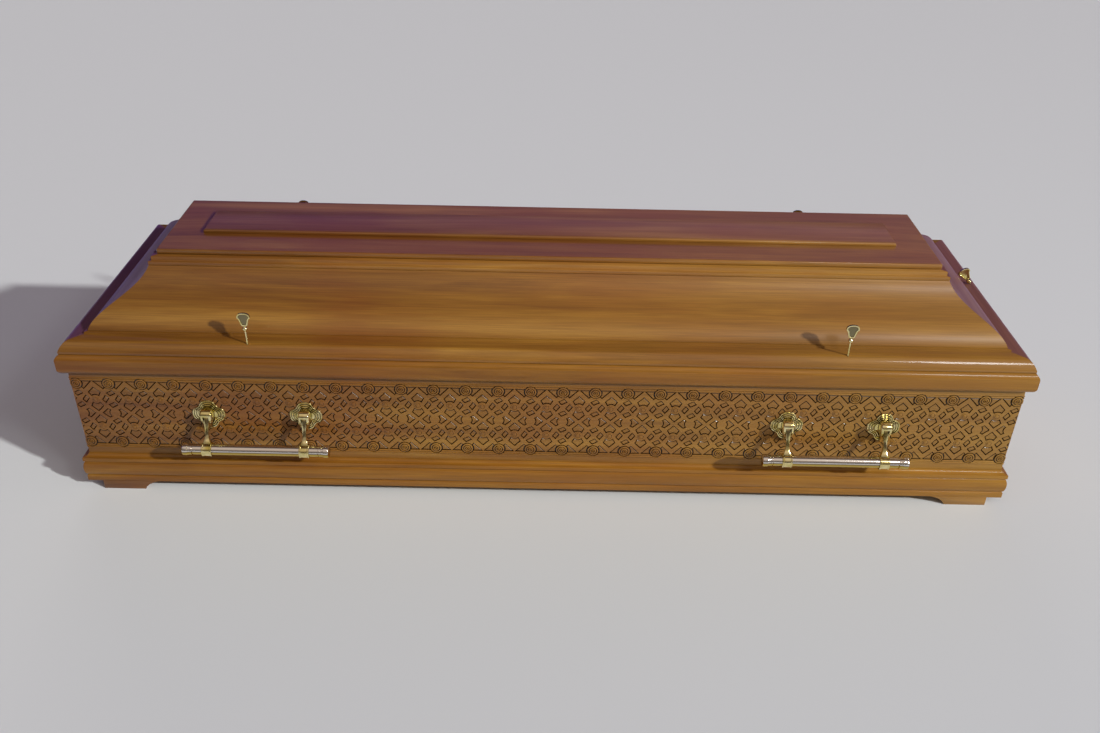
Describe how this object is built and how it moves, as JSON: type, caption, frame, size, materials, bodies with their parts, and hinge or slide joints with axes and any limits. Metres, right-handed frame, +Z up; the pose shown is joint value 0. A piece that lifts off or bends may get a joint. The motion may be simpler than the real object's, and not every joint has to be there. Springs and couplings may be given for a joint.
{
  "type": "wooden coffin",
  "caption": "Carved, varnished wooden coffin with a hollow panelled lid that lifts off, mitred mouldings, bracket feet and swing-bar handles.",
  "frame": {"origin": "on the ground, under the middle of the coffin", "axes": "+X along the coffin towards its right end as seen from the front, +Y towards the back long side, +Z up"},
  "size_m": [2.04, 0.719, 0.518],
  "materials": {
    "varnished_walnut": "glossy varnish over walnut stain, straight grain",
    "carved_walnut": "glossy varnish over carved, walnut-stained wood",
    "pale_brass": "polished pale gold",
    "polished_bar": "polished"
  },
  "bodies": {
    "root": {"base_board": "varnished_walnut", "closing_screw_back_left": "pale_brass", "closing_screw_back_right": "pale_brass", "closing_screw_front_left": "pale_brass", "closing_screw_front_right": "pale_brass", "closing_screw_right_end": "pale_brass", "end_panel_left": "varnished_walnut", "end_panel_right": "varnished_walnut", "escutcheon_back_left_inner": "pale_brass", "escutcheon_back_left_outer": "pale_brass", "escutcheon_back_right_inner": "pale_brass", "escutcheon_back_right_outer": "pale_brass", "escutcheon_front_left_inner": "pale_brass", "escutcheon_front_left_outer": "pale_brass", "escutcheon_front_right_inner": "pale_brass", "escutcheon_front_right_outer": "pale_brass", "foot_back_left": "varnished_walnut", "foot_back_right": "varnished_walnut", "foot_front_left": "varnished_walnut", "foot_front_right": "varnished_walnut", "lid_cornice_back": "varnished_walnut", "lid_cornice_front": "varnished_walnut", "lid_cornice_left": "varnished_walnut", "lid_cornice_right": "varnished_walnut", "lid_rail_back": "varnished_walnut", "lid_rail_front": "varnished_walnut", "lid_rail_left": "varnished_walnut", "lid_rail_right": "varnished_walnut", "lid_raised_field": "varnished_walnut", "lid_slope_back": "varnished_walnut", "lid_slope_front": "varnished_walnut", "lid_slope_left": "varnished_walnut", "lid_slope_right": "varnished_walnut", "lid_top_board": "varnished_walnut", "plinth_back": "varnished_walnut", "plinth_front": "varnished_walnut", "plinth_left": "varnished_walnut", "plinth_right": "varnished_walnut", "rim_back": "varnished_walnut", "rim_front": "varnished_walnut", "rim_left": "varnished_walnut", "rim_right": "varnished_walnut", "side_panel_back": "carved_walnut", "side_panel_front": "carved_walnut"},
    "handle_front_left": {"handle_arm_front_left_inner": "pale_brass", "handle_arm_front_left_outer": "pale_brass", "handle_bar_front_left": "polished_bar"},
    "handle_front_right": {"handle_arm_front_right_inner": "pale_brass", "handle_arm_front_right_outer": "pale_brass", "handle_bar_front_right": "polished_bar"},
    "handle_back_left": {"handle_arm_back_left_inner": "pale_brass", "handle_arm_back_left_outer": "pale_brass", "handle_bar_back_left": "polished_bar"},
    "handle_back_right": {"handle_arm_back_right_inner": "pale_brass", "handle_arm_back_right_outer": "pale_brass", "handle_bar_back_right": "polished_bar"}
  },
  "joints": [
    {"name": "handle_front_left_swing", "type": "hinge", "parent": "root", "child": "handle_front_left", "pos_m": [-0.62, -0.319, 0.202], "axis": [-1, 0, 0], "range_deg": [0, 68]},
    {"name": "handle_front_right_swing", "type": "hinge", "parent": "root", "child": "handle_front_right", "pos_m": [0.62, -0.319, 0.202], "axis": [-1, 0, 0], "range_deg": [0, 68]},
    {"name": "handle_back_left_swing", "type": "hinge", "parent": "root", "child": "handle_back_left", "pos_m": [-0.62, 0.319, 0.202], "axis": [1, 0, 0], "range_deg": [0, 68]},
    {"name": "handle_back_right_swing", "type": "hinge", "parent": "root", "child": "handle_back_right", "pos_m": [0.62, 0.319, 0.202], "axis": [1, 0, 0], "range_deg": [0, 68]}
  ]
}
